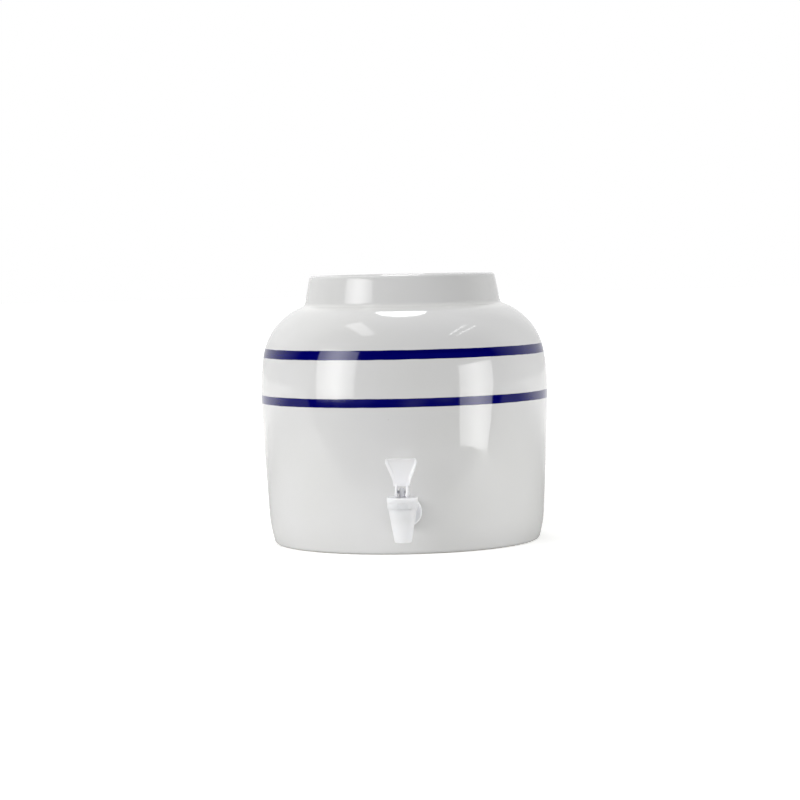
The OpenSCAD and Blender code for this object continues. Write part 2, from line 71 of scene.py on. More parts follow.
def span(node, axis):
    """Size of a CAD node along an axis, in metres."""
    low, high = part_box(node)
    return high[axis] - low[axis]


# Sizes that the CAD states, in metres, colours and lamp levels

def length(name, text, size):
    return FloatProperty(name=name, description=text, default=size, min=0.0, unit="LENGTH", precision=5)


def shade(name, text, value):
    return FloatVectorProperty(
        name=name, description=text, default=linear(value), size=4, min=0.0, max=1.0, subtype="COLOR"
    )


def level(name, text, value):
    return FloatProperty(name=name, description=text, default=value, min=0.0)


class CrockShape(PropertyGroup):
    """Sizes of the porcelain"""

    height: length("Height", "From the ground to the rim", span("crock", 2))
    belly: length("Belly", "Largest diameter", span("crock", 1))
    foot: length("Foot", "Diameter where the wall meets the rounded foot", 0.24765)
    neck: length("Neck", "Outside diameter at the rim", 0.17145)
    mouth: length("Mouth", "Clear diameter of the mouth", 0.1524)
    neck_height: length("Neck height", "From the shoulder's corner to the rim", 0.027)
    wall: length("Wall", "Thickness of the wall and the floor", 0.008)
    tap_hole: length("Tap hole", "Diameter of the hole for the tap", 0.020)
    upper_band_drop: length("Upper band drop", "From the rim to the middle of the upper band", 0.0701)
    upper_band_width: length("Upper band width", "Width of the upper band", 0.0084)
    lower_band_drop: length("Lower band drop", "From the rim to the middle of the lower band", 0.1124)
    lower_band_width: length("Lower band width", "Width of the lower band", 0.0078)
    sides: IntProperty(name="Sides", description="Faces round the crock", default=288, min=72, max=360)


class TapShape(PropertyGroup):
    """Sizes of the tap"""

    rise: length("Shank height", "From the ground to the shank's axis", 0.0396)
    reach: length("Reach", "From the crock's face to the tap's upright axis", 0.032)
    yaw: FloatProperty(
        name="Yaw", description="Turn of the tap to one side", default=math.radians(7), subtype="ANGLE"
    )
    thread_pitch: length("Thread pitch", "Rise of the shank's thread for each turn", 0.002)
    edge: length("Moulded edge", "Rounding of the paddle's moulded edges", 0.0005)
    ribs: IntProperty(name="Grip ribs", description="Number of ribs on the bonnet", default=8, min=4, max=16)
    spring_turns: FloatProperty(
        name="Spring turns", description="Turns of the return spring", default=4.5, min=2, max=8
    )


class Finishes(PropertyGroup):
    """Colours of the materials"""

    glaze: shade("Glaze", "Clear glaze over white porcelain", "#DCDCDC")
    glaze_thin: shade("Thin glaze", "The same where the glaze is thinner and the body warms it", "#D9D9D8")
    biscuit: shade("Biscuit", "Unglazed porcelain of the foot ring", "#CFC7B8")
    cobalt: shade("Cobalt", "Cobalt brushed on under the glaze", "#00005C")
    cobalt_thin: shade("Thin cobalt", "Cobalt where the brush left less", "#06086E")
    plastic: shade("Tap plastic", "White polypropylene", "#F4F4F8")
    silicone: shade("Silicone", "Milky moulded silicone", "#D2D6D6")
    steel: shade("Steel", "Stainless steel", "#D2D3D6")


class Studio(PropertyGroup):
    """Levels of the lamps"""

    left_lamp: level("Left softbox", "Brightness of the left softbox at its middle", 6.0)
    right_lamp: level("Right softbox", "Brightness of the right softbox at its middle", 5.8)
    top_lamp: level("Top softbox", "Brightness of the overhead softbox", 7.5)
    left_tube: level("Left tubes", "Brightness of the ceiling tubes on the left", 2.6)
    right_tube: level("Right tubes", "Brightness of the ceiling tubes on the right", 4.5)
    backdrop: level("Backdrop", "Brightness of the white backdrop", 0.88)
    upper_back: level("Upper backdrop", "Added brightness of the backdrop above the object", 0.28)
    back_fill: level("Back fill", "Brightness of the soft light from behind", 0.15)
    left_fill: level("Left fill", "Brightness of the soft light from the upper left", 1.0)
    right_fill: level("Right fill", "Brightness of the soft light from the right", 0.45)
    top_fill: level("Top fill", "Brightness of the soft light from above", 0.48)
    front_fill: level("Front fill", "Brightness of the soft light from the front", 0.4)
    floor_glow: level("Floor glow", "Glow of the floor close by, for the camera alone", 0.5)


# Outlines, as pairs of radius and height in millimetres

def arc(centre, radius, start, stop, spacing=2.5):
    """Points along an arc, from one angle to another in degrees."""
    steps = max(6, math.ceil(abs(math.radians(stop - start)) * radius / spacing))
    angles = [math.radians(start + (stop - start) * i / steps) for i in range(steps + 1)]
    return [(centre[0] + radius * math.cos(a), centre[1] + radius * math.sin(a)) for a in angles]


def rounded_corner(before, corner, after, radius):
    """Arc that rounds a corner between its two neighbours."""
    before, corner, after = Vector(before[:2]), Vector(corner[:2]), Vector(after[:2])
    u, v = (before - corner).normalized(), (after - corner).normalized()
    half = math.acos(max(-1, min(1, u.dot(v)))) / 2
    centre = corner + (u + v).normalized() * radius / math.sin(half)
    start = corner + u * radius / math.tan(half) - centre
    stop = corner + v * radius / math.tan(half) - centre
    first = math.degrees(math.atan2(start.y, start.x))
    turn = (math.degrees(math.atan2(stop.y, stop.x)) - first + 180) % 360 - 180
    return arc(centre, radius, first, first + turn, 0.8)


def rounded(outline):
    """Rounds each corner that has a third number, its radius. The outline is taken as a closed one."""
    points = []
    for i, point in enumerate(outline):
        if len(point) > 2:
            points += rounded_corner(outline[i - 1], point, outline[(i + 1) % len(outline)], point[2])
        else:
            points.append(tuple(point))
    return points


def ring(outline):
    """Rounds and closes an outline that doesn't touch the axis."""
    points = rounded(outline)
    return points + points[:1]


def stepped(points, spacing):
    """Adds points along the straight stretches, so that no face is much longer than the spacing."""
    dense = [points[0]]
    for a, b in zip(points, points[1:]):
        steps = max(1, math.ceil((Vector(b) - Vector(a)).length / spacing))
        dense += [tuple(Vector(a).lerp(Vector(b), i / steps)) for i in range(1, steps + 1)]
    return dense


class CrockCurves:
    """The tangent arcs of the crock's wall, from the CAD's own sizes, in millimetres."""

    shoulder_r, upper_belly_r, heel_r, foot_r = 58, 147, 121, 4
    upper_belly_turn, neck_lean = 12.8, 10.9
    swell_drop, heel_h = 54.3, 28.2
    foot_ring, foot_hollow, foot_fillets = 11, 3, (2, 1)
    shoulder_stop, shoulder_gap, root_spread, neck_fillet = 6, 3.0, 0.08, 4.5
    rim_fillets, throat_fillet, floor_fillet = (3.5, 3), 4, 16

    def __init__(self, shape):
        self.height = shape.height * 1000
        self.belly_r = shape.belly * 500
        self.foot_x = shape.foot * 500
        self.neck_r = shape.neck * 500
        self.mouth_r = shape.mouth * 500
        self.wall = shape.wall * 1000
        self.floor_z = self.foot_hollow + self.wall
        neck_h = shape.neck_height * 1000
        self.neck_foot_r = self.neck_r + neck_h * math.tan(math.radians(self.neck_lean))
        self.find_shoulder(self.height - neck_h)
        self.find_taper()

    def find_shoulder(self, neck_foot_z):
        """Places the shoulder's arc so that its tangent meets the foot of the neck."""
        turn = math.radians(self.upper_belly_turn)
        step = self.upper_belly_r - self.shoulder_r
        x = self.belly_r - self.upper_belly_r + step * math.cos(turn)
        top = math.acos((self.neck_foot_r + self.shoulder_stop - x) / self.shoulder_r)
        run = x + self.shoulder_r * math.cos(top) - self.neck_foot_r
        z = neck_foot_z - run / math.tan(top) - self.shoulder_r * math.sin(top)
        self.shoulder_c, self.belly_z = (x, z), z - step * math.sin(turn)
        self.shoulder_top = math.degrees(top)
        end = math.acos((self.neck_foot_r + self.shoulder_gap - x) / self.shoulder_r)
        self.shoulder_end = math.degrees(end)

    def find_taper(self):
        """Halves the range of tapers until the heel's curve meets the wall."""
        low, high = 0.0, 40.0
        swell_z, reach = self.belly_z - self.swell_drop, self.heel_r - self.foot_r
        for _ in range(50):
            taper = math.radians((low + high) / 2)
            heel = math.asin((self.heel_h - self.foot_r + self.heel_r * math.sin(taper)) / reach)
            x = self.foot_x - self.heel_r * math.cos(heel)
            wall_x = self.belly_r - self.swell_drop * math.tan(taper / 2)
            wall_x -= (swell_z - self.heel_h) * math.tan(taper)
            if wall_x - x - self.heel_r * math.cos(taper) > 0:
                low = math.degrees(taper)
            else:
                high = math.degrees(taper)
        self.taper, self.heel_turn = math.degrees(taper), math.degrees(heel)
        self.heel_c = (x, self.foot_r + reach * math.sin(heel))
        self.swell_r = self.swell_drop / math.sin(taper)
        self.foot_c = (x + reach * math.cos(heel), self.foot_r)

    def wall_radius(self, z, depth=0.0):
        """Radius of the straight wall at a height, at a depth under its outer face."""
        taper, radius = math.radians(self.taper), self.heel_r - depth
        rise = z - self.heel_c[1] + radius * math.sin(taper)
        return self.heel_c[0] + radius * math.cos(taper) + rise * math.tan(taper)

    def upper_wall(self, depth=0.0):
        """The wall above the heel, at a depth under its outer face."""
        swell_c = (self.belly_r - self.swell_r, self.belly_z)
        upper_c = (self.belly_r - self.upper_belly_r, self.belly_z)
        return (
            arc(swell_c, self.swell_r - depth, -self.taper, 0, 3)
            + arc(upper_c, self.upper_belly_r - depth, 0, self.upper_belly_turn)[1:]
            + arc(self.shoulder_c, self.shoulder_r - depth, self.upper_belly_turn, self.shoulder_top)[1:]
        )

    def outer_wall(self):
        return arc(self.heel_c, self.heel_r, -self.heel_turn, -self.taper) + self.upper_wall()

    def throat_z(self):
        """Height inside at which the mouth's bore meets the underside of the shoulder."""
        top, r = math.radians(self.shoulder_top), self.shoulder_r - self.wall
        rise = self.shoulder_c[1] + r * math.sin(top)
        return rise + (self.shoulder_c[0] + r * math.cos(top) - self.mouth_r) / math.tan(top)

    def outline(self):
        """The whole section, from the underside's middle round the outside to the floor's middle."""
        x = self.foot_c[0]
        shoulder = arc(self.shoulder_c, self.shoulder_r, self.shoulder_top, self.shoulder_end)[1:]
        root_z = shoulder[-1][1] + self.shoulder_gap / math.tan(math.radians(self.shoulder_end))
        hollow, ring_r, floor_z = self.foot_hollow, x - self.foot_ring, self.floor_z
        outside = (
            [(0, hollow), (ring_r - hollow, hollow, self.foot_fillets[0]), (ring_r, 0, self.foot_fillets[1])]
            + arc(self.foot_c, self.foot_r, -90, -self.heel_turn, 0.7)
            + self.outer_wall()
            + shoulder
            + [(self.neck_foot_r + self.root_spread, root_z, self.neck_fillet)]
        )
        rim = [(r, self.height, fillet) for r, fillet in zip((self.neck_r, self.mouth_r), self.rim_fillets)]
        inside = (
            [(self.mouth_r, self.throat_z(), self.throat_fillet)]
            + self.upper_wall(self.wall)[::-1]
            + [(self.wall_radius(floor_z, self.wall), floor_z, self.floor_fillet), (0, floor_z)]
        )
        return rounded(outside + rim + inside)

    def strip(self, low, high, lift, tuck):
        """Section of a thin skin on the wall between two heights, which stands off by the lift and dips by
        the tuck at its edges. It goes half a millimetre deep."""
        half = 0.5
        wall = [p for p in stepped(self.outer_wall(), 0.8) if low <= p[1] <= high]
        face = []
        for r, z in wall:
            edge = max(0.0, 1 - min(z - low, high - z) / half)
            face.append((r + lift - (lift + tuck) * edge ** 2, z))
        return face + [(r - half, z) for r, z in wall[::-1]] + face[:1]


# Modelling by hand, in millimetres. A finished shape is brought down to metres when it is handed over

AS_MADE = Matrix.Identity(4)


def clear_hands():
    """Leaves edit mode and deselects everything."""
    if bpy.context.object and bpy.context.object.mode != "OBJECT":
        bpy.ops.object.mode_set(mode="OBJECT")
    bpy.ops.object.select_all(action="DESELECT")


def take(piece, edit=False):
    """Makes a piece the only selected one, and opens its mesh if asked."""
    clear_hands()
    bpy.context.view_layer.objects.active = piece
    piece.select_set(True)
    if edit:
        bpy.ops.object.mode_set(mode="EDIT")
    return piece


def named(name):
    """Names the new primitive."""
    piece = bpy.context.active_object
    piece.name = piece.data.name = name
    return piece


def twin(piece):
    """A copy with its own mesh."""
    copy = piece.copy()
    copy.data = piece.data.copy()
    bpy.context.collection.objects.link(copy)
    return copy


def draw_line(name, points):
    """A new mesh that is one line through the points, from a plane merged to its middle and extruded. Leaves
    edit mode on."""
    clear_hands()
    bpy.ops.mesh.primitive_plane_add(size=1)
    piece = take(named(name), True)
    bpy.ops.mesh.select_mode(type="VERT")
    bpy.ops.mesh.select_all(action="SELECT")
    bpy.ops.mesh.merge(type="CENTER")
    bpy.ops.transform.translate(value=points[0])
    for here, there in zip(points, points[1:]):
        bpy.ops.mesh.extrude_vertices_move(TRANSFORM_OT_translate={"value": there - here})
    bpy.ops.mesh.select_all(action="SELECT")
    return piece


def tidy_faces(gap=2e-4):
    """Merges doubles and turns every face outwards, in edit mode."""
    bpy.ops.mesh.select_all(action="SELECT")
    bpy.ops.mesh.remove_doubles(threshold=gap)
    bpy.ops.mesh.normals_make_consistent(inside=False)


PLANES = {
    "Z": (lambda r, h: Vector((r, 0, h)), (0, 0, 1)),
    "Y": (lambda r, h: Vector((r, h, 0)), (0, 1, 0)),
    "X": (lambda r, h: Vector((h, 0, r)), (1, 0, 0)),
}


def turn(name, outline, sides=96, axis="Z"):
    """Turns an outline round an axis, as on a lathe."""
    place, spindle = PLANES[axis]
    piece = draw_line(name, [place(r, h) for r, h in outline])
    bpy.ops.mesh.spin(steps=sides, angle=math.tau, center=(0, 0, 0), axis=spindle)
    tidy_faces()
    bpy.ops.object.mode_set(mode="OBJECT")
    return piece


def rod(name, diameter, start, stop, axis, sides=64):
    """A plain rod, used as a drill."""
    return turn(name, [(0, start), (diameter / 2, start), (diameter / 2, stop), (0, stop)], sides, axis)


def fit(piece, kind, **settings):
    """Adds a modifier and applies it."""
    take(piece)
    modifier = piece.modifiers.new(kind.title(), kind)
    for setting, value in settings.items():
        setattr(modifier, setting, value)
    bpy.ops.object.modifier_apply(modifier=modifier.name)
    return piece


def carve(piece, tool, operation="DIFFERENCE"):
    """Cuts a tool's shape out of a piece, or joins it on, and throws the tool away."""
    fit(piece, "BOOLEAN", object=tool, operation=operation, solver="EXACT")
    bpy.data.objects.remove(tool)
    if not piece.data.polygons:
        raise RuntimeError(f"nothing was left of {piece.name}")
    return piece


def soften(piece, width, segments=3, angle=35):
    """Rounds every edge that is sharper than the angle."""
    return fit(
        piece, "BEVEL", width=width, segments=segments, limit_method="ANGLE",
        angle_limit=math.radians(angle), miter_outer="MITER_ARC", use_clamp_overlap=True,
    )


def join(piece, *others):
    """Joins closed shapes that overlap into one piece."""
    take(piece)
    for other in others:
        other.select_set(True)
    bpy.ops.object.join()
    return piece


def choose(piece, members):
    """Selects the points with the given numbers, in edit mode."""
    mesh = bmesh.from_edit_mesh(piece.data)
    mesh.verts.ensure_lookup_table()
    for item in (*mesh.verts, *mesh.edges, *mesh.faces):
        item.select = False
    for i in members:
        mesh.verts[i].select = True
    bmesh.update_edit_mesh(piece.data)


def push(piece, way_of, members=None):
    """Moves points by way_of(point). Points with the same shift are selected and moved together."""
    groups = {}
    mesh = bmesh.from_edit_mesh(piece.data)
    for v in mesh.verts:
        if members is None or v.index in members:
            groups.setdefault(tuple(round(w, 5) for w in way_of(v.co)), []).append(v.index)
    for way, group in groups.items():
        if any(way):
            choose(piece, group)
            bpy.ops.transform.translate(value=way)


def box_block(name, low, high):
    """A block between two corners."""
    clear_hands()
    low, high = Vector(low), Vector(high)
    bpy.ops.mesh.primitive_cube_add(size=1, location=(low + high) / 2, scale=high - low)
    return shift(named(name))


def tap_place(shape, curves):
    """Where the tap's own frame stands, with its origin where the shank's and the upright axis cross."""
    rise, reach = shape.rise * 1000, shape.reach * 1000
    at_face = Matrix.Translation((0, -curves.wall_radius(rise), rise))
    return at_face @ Matrix.Rotation(-shape.yaw, 4, "Z") @ Matrix.Translation((0, -reach, 0))


def shift(piece, place=None):
    """Moves a piece by a placing, and keeps the place in its mesh."""
    take(piece)
    if place is not None:
        piece.matrix_world = place
    bpy.ops.object.transform_apply(location=True, rotation=True, scale=True)
    return piece


# Materials

def add_node(tree, kind, inputs=(), out=0, **settings):
    """Adds a node with its settings, sets or links its inputs, which come by name or in their order, and
    gives back one of its outputs, or all."""
    node = tree.nodes.new("ShaderNode" + kind)
    for setting, value in settings.items():
        setattr(node, setting, value)
    for socket, value in inputs.items() if isinstance(inputs, dict) else enumerate(inputs):
        if isinstance(value, bpy.types.NodeSocket):
            tree.links.new(value, node.inputs[socket])
        else:
            node.inputs[socket].default_value = value
    return node.outputs[out] if node.outputs and out is not None else node.outputs


def material_of(recipe, colours, name=None, *rest):
    """The material that a recipe makes, once. The recipe gives the values of the shader's sockets."""
    name = name or recipe.__name__
    material = bpy.data.materials.get(name)
    if not material:
        material = bpy.data.materials.new(name)
        material.use_nodes = True
        material.node_tree.nodes.clear()
        add = partial(add_node, material.node_tree)
        shader = add("BsdfPrincipled", recipe(add, colours, *rest))
        add("OutputMaterial", {"Surface": shader})
    return material


def per_metre(size):
    """Pattern scale for a repeat of that many millimetres."""
    return 1000.0 / size


def glazed_porcelain(add, colours):
    """Porcelain, slip cast and dipped in a clear glaze: a bright, slightly warm white under a glassy skin.

    The glaze is glassy, so lamps show in it with crisp edges. It pools and thins by a few hundredths of a
    millimetre, which makes those edges swim a little, and it carries a faint orange peel about 9 mm
    across. In the corner under the neck the colour is painted whiter: painted light that lifts the shade the
    neck casts there, and partly the thicker glaze that lies in that corner.
    """
    place = add("TexCoord", out="Object")
    pooling, rare, swell, peel = (
        add("TexNoise", {"Vector": place, "Scale": per_metre(size), "Detail": detail})
        for size, detail in ((110, 2), (16, 0), (55, 1), (9, 1))
    )
    share = add("MapRange", [pooling, 0.38, 0.66])
    colour = add("Mix", {0: share, 6: colours.glaze, 7: colours.glaze_thin}, 2, data_type="RGBA")
    corner_height = 0.2190
    height = add("SeparateXYZ", [place], "Z")
    off = add("Math", [add("Math", [height, corner_height], operation="SUBTRACT")], operation="ABSOLUTE")
    # painted light: a narrow band under the neck is painted whiter to lift the shade the neck casts in that
    # corner, partly also for the thicker glaze there
    painted_corner_light = add("MapRange", [off, 0.0005, 0.0040, 1.0, 0.0])
    colour = add("Mix", {0: painted_corner_light, 6: colour, 7: linear("#E6E6E4")}, 2, data_type="RGBA")
    specks = add("TexVoronoi", {"Vector": place, "Scale": per_metre(7.0)})
    reach = add("MapRange", [rare, 0.66, 0.80, 0.0, 0.075])
    dot = add("Math", [specks, reach], operation="LESS_THAN")
    faint = add("Math", [dot, 0.35], operation="MULTIPLY")
    colour = add("Mix", {0: faint, 6: colour, 7: linear("#8C8272")}, 2, data_type="RGBA")
    squeezed = add("Mapping", {"Vector": place, "Scale": (3.0, 3.0, per_metre(6))})
    rings = add("TexNoise", {"Vector": squeezed, "Scale": 1.0, "Detail": 2.0})
    normal = add("Bump", {"Height": swell, "Distance": 0.00022})
    for height, depth in ((rings, 0.000012), (peel, 0.000010)):
        normal = add("Bump", {"Height": height, "Distance": depth, "Normal": normal})
    rough = add("MapRange", [peel, 0.3, 0.7, 0.045, 0.075])
    return {"Base Color": colour, "Roughness": rough, "Normal": normal, "IOR": 1.52}


def banded_cobalt(add, colours, middle, width):
    """Cobalt oxide, brushed on the turning crock and glazed over: deep blue with streaks along the stroke
    and edges that wander by a tenth of a millimetre and bleed a little into the glaze."""
    sockets = glazed_porcelain(add, colours)
    place = add("TexCoord", out="Object")
    height = add("SeparateXYZ", [place], "Z")
    off = add("Math", [add("Math", [height, middle], operation="SUBTRACT")], operation="ABSOLUTE")
    wander = add("TexNoise", {"Vector": place, "Scale": per_metre(16), "Detail": 1.0})
    drift = add("MapRange", [wander, 0.25, 0.75, -0.00015, 0.00015])
    edge = add("Math", [off, drift], operation="ADD")
    cover = add(
        "MapRange", [edge, width / 2 - 0.0002, width / 2 + 0.00018, 1.0, 0.0],
        interpolation_type="SMOOTHSTEP",
    )
    drawn = add("Mapping", {"Vector": place, "Scale": (9.0, 9.0, per_metre(1.1))})
    streaks = add("TexNoise", {"Vector": drawn, "Scale": 1.0, "Detail": 3.0})
    thin = add("MapRange", [streaks, 0.45, 0.75])
    blue = add("Mix", {0: thin, 6: colours.cobalt, 7: colours.cobalt_thin}, 2, data_type="RGBA")
    sockets["Base Color"] = add("Mix", {0: cover, 6: sockets["Base Color"], 7: blue}, 2, data_type="RGBA")
    return sockets


def biscuit_porcelain(add, colours):
    """Unglazed porcelain, wiped and fired: dull, warm and slightly sandy, greyer where it has stood."""
    place = add("TexCoord", out="Object")
    sand, patches = (
        add("TexNoise", {"Vector": place, "Scale": per_metre(size), "Detail": 3.0}) for size in (0.9, 18)
    )
    dirt = add("MapRange", [patches, 0.45, 0.75, 0.0, 0.5])
    colour = add("Mix", {0: dirt, 6: colours.biscuit, 7: linear("#A9A196")}, 2, data_type="RGBA")
    normal = add("Bump", {"Height": sand, "Distance": 0.00006})
    return {"Base Color": colour, "Roughness": 0.85, "IOR": 1.5, "Normal": normal}


def moulded_polypropylene(add, colours):
    """Polypropylene, injection moulded in a fine-sparked tool: cool white, softly shiny, a little
    translucent, with faint flow marks and a grain drawn at 0.8 mm, coarser than the real one so that it
    shows at all."""
    place = add("TexCoord", out="Object")
    grain, flow = (
        add("TexNoise", {"Vector": place, "Scale": per_metre(size), "Detail": detail})
        for size, detail in ((0.8, 2), (14, 1))
    )
    tint = add("MapRange", [flow, 0.25, 0.75, 0.0, 0.6])
    colour = add("Mix", {0: tint, 6: colours.plastic, 7: linear("#F1F1F6")}, 2, data_type="RGBA")
    rough = add("MapRange", [flow, 0.25, 0.75, 0.28, 0.32])
    normal = add("Bump", {"Height": flow, "Distance": 0.000003})
    normal = add("Bump", {"Height": grain, "Distance": 0.000006, "Normal": normal})
    return {
        "Base Color": colour, "Roughness": rough, "IOR": 1.49, "Normal": normal,
        "Subsurface Weight": 0.9, "Subsurface Radius": (1.0, 0.96, 0.94), "Subsurface Scale": 0.005,
    }


def moulded_silicone(add, colours):
    """Silicone rubber, compression moulded: milky, dull and soft to the eye, with fine dust on it."""
    place = add("TexCoord", out="Object")
    cloud, dust = (
        add("TexNoise", {"Vector": place, "Scale": per_metre(size), "Detail": detail})
        for size, detail in ((5, 3), (0.5, 2))
    )
    colour = add("Mix", {0: cloud, 6: colours.silicone, 7: linear("#C3C9CA")}, 2, data_type="RGBA")
    rough = add("MapRange", [dust, 0.3, 0.7, 0.42, 0.62])
    normal = add("Bump", {"Height": dust, "Distance": 0.00001})
    return {
        "Base Color": colour, "Roughness": rough, "IOR": 1.41, "Normal": normal,
        "Subsurface Weight": 0.5, "Subsurface Radius": (1.0, 1.0, 1.0), "Subsurface Scale": 0.0015,
    }


def drawn_stainless(add, colours):
    """Stainless steel, drawn through a die: bright grey metal with fine lines and slightly varied polish."""
    place = add("TexCoord", out="Object")
    drawn = add("Mapping", {"Vector": place, "Scale": (per_metre(6), per_metre(6), per_metre(0.25))})
    lines = add("TexNoise", {"Vector": drawn, "Scale": 1.0, "Detail": 3.0})
    rough = add("MapRange", [lines, 0.3, 0.7, 0.48, 0.60])
    colour = add("Mix", {0: lines, 6: colours.steel, 7: linear("#C4C5C9")}, 2, data_type="RGBA")
    normal = add("Bump", {"Height": lines, "Distance": 0.000004})
    return {"Base Color": colour, "Metallic": 1.0, "Roughness": rough, "Normal": normal}


# Pieces

RECIPES = {"tap_plastic": moulded_polypropylene, "silicone": moulded_silicone, "stainless": drawn_stainless}


class CrockOperator:
    """What every step shares: the sizes it reads, how it hands a piece over and its clean end."""

    bl_options = {"REGISTER", "UNDO"}

    def read(self, context):
        scene = context.scene
        self.crock, self.tap = scene.crock_shape, scene.tap_shape
        self.colours, self.lamps = scene.crock_finishes, scene.crock_studio
        self.curves = CrockCurves(self.crock)
        self.at_tap = tap_place(self.tap, self.curves)

    def bands(self):
        """Name, CAD node, middle and width of each band, in metres."""
        crock = self.crock
        return (
            ("upper_stripe", "upper_band", crock.height - crock.upper_band_drop, crock.upper_band_width),
            ("lower_stripe", "lower_band", crock.height - crock.lower_band_drop, crock.lower_band_width),
        )

    def hand_over(self, piece, body, slot, nodes, place=AS_MADE, angle=32):
        """Finishes a piece: its place in the frame, in metres, smooth faces, the material of its slot
        unless it has one, and its body. It hides the CAD nodes it stands for."""
        shift(piece, Matrix.Scale(0.001, 4) @ place)
        bpy.ops.object.shade_smooth_by_angle(angle=math.radians(angle))
        if not piece.data.materials:
            piece.data.materials.append(material_of(RECIPES[slot], self.colours))
        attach(piece, body)
        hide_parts(*nodes)
        piece.select_set(False)

    def done(self):
        clear_hands()
        return {"FINISHED"}


class CROCK_OT_crock(CrockOperator, Operator):
    """Turn the porcelain crock and drill its tap hole"""

    bl_idname = "crock.crock"
    bl_label = "Crock"

    groove_depth, groove_slope, groove_edge, groove_least_r = 0.35, 0.3, 0.2, 128
    glaze_line, drill_out, drill_in = 0.4, 12, 100

    def execute(self, context):
        self.read(context)
        rise = self.tap.rise * 1000
        face = self.curves.wall_radius(rise)
        piece = turn("crock_shell", self.grooved(stepped(self.curves.outline(), 5)), self.crock.sides)
        biscuit = material_of(biscuit_porcelain, self.colours)
        for material in (material_of(glazed_porcelain, self.colours), biscuit):
            piece.data.materials.append(material)
        self.wipe_foot(piece)
        drill = rod("drill", self.crock.tap_hole * 1000, -face - self.drill_out, -self.drill_in, "Y", 72)
        shift(drill, Matrix.Translation((0, 0, rise)))
        drill.data.materials.append(biscuit)
        carve(piece, drill)
        self.hand_over(piece, "vessel", "glaze", ["crock"], angle=40)
        return self.done()

    def grooved(self, outline):
        """Sinks a shallow groove under each band, so that the bands lie in the wall and not on it."""
        for _, _, middle, width in self.bands():
            low, high = (middle - width / 2) * 1000, (middle + width / 2) * 1000
            for height in (low, low + self.groove_slope, high, high - self.groove_slope):
                outline = self.with_height(outline, height)
            low, high = low + self.groove_edge, high - self.groove_edge
            outline = [
                (r - self.groove_depth, z) if r > self.groove_least_r and low < z < high else (r, z)
                for r, z in outline
            ]
        return outline

    def with_height(self, outline, height):
        """Adds a point to the outer wall at a height."""
        for i, (a, b) in enumerate(zip(outline, outline[1:])):
            if a[1] < height <= b[1] and a[0] > self.groove_least_r:
                share = (height - a[1]) / (b[1] - a[1])
                if min(height - a[1], b[1] - height) < 1e-4:
                    return outline
                return outline[:i + 1] + [(a[0] + (b[0] - a[0]) * share, height)] + outline[i + 1:]
        return outline

    def wipe_foot(self, piece):
        """Leaves the foot ring unglazed."""
        for face in piece.data.polygons:
            if face.center.z < self.glaze_line:
                face.material_index = 1


class CROCK_OT_bands(CrockOperator, Operator):
    """Lay the two cobalt bands in the wall"""

    bl_idname = "crock.bands"
    bl_label = "Bands"

    margin, skin = 0.9, 0.03

    def execute(self, context):
        self.read(context)
        for name, node, middle, width in self.bands():
            low, high = (middle - width / 2) * 1000 - self.margin, (middle + width / 2) * 1000 + self.margin
            piece = turn(name, self.curves.strip(low, high, self.skin, self.skin), self.crock.sides)
            cobalt = material_of(banded_cobalt, self.colours, "banded_" + name, middle, width)
            piece.data.materials.append(cobalt)
            self.hand_over(piece, "vessel", "cobalt_band", [node], angle=60)
        return self.done()


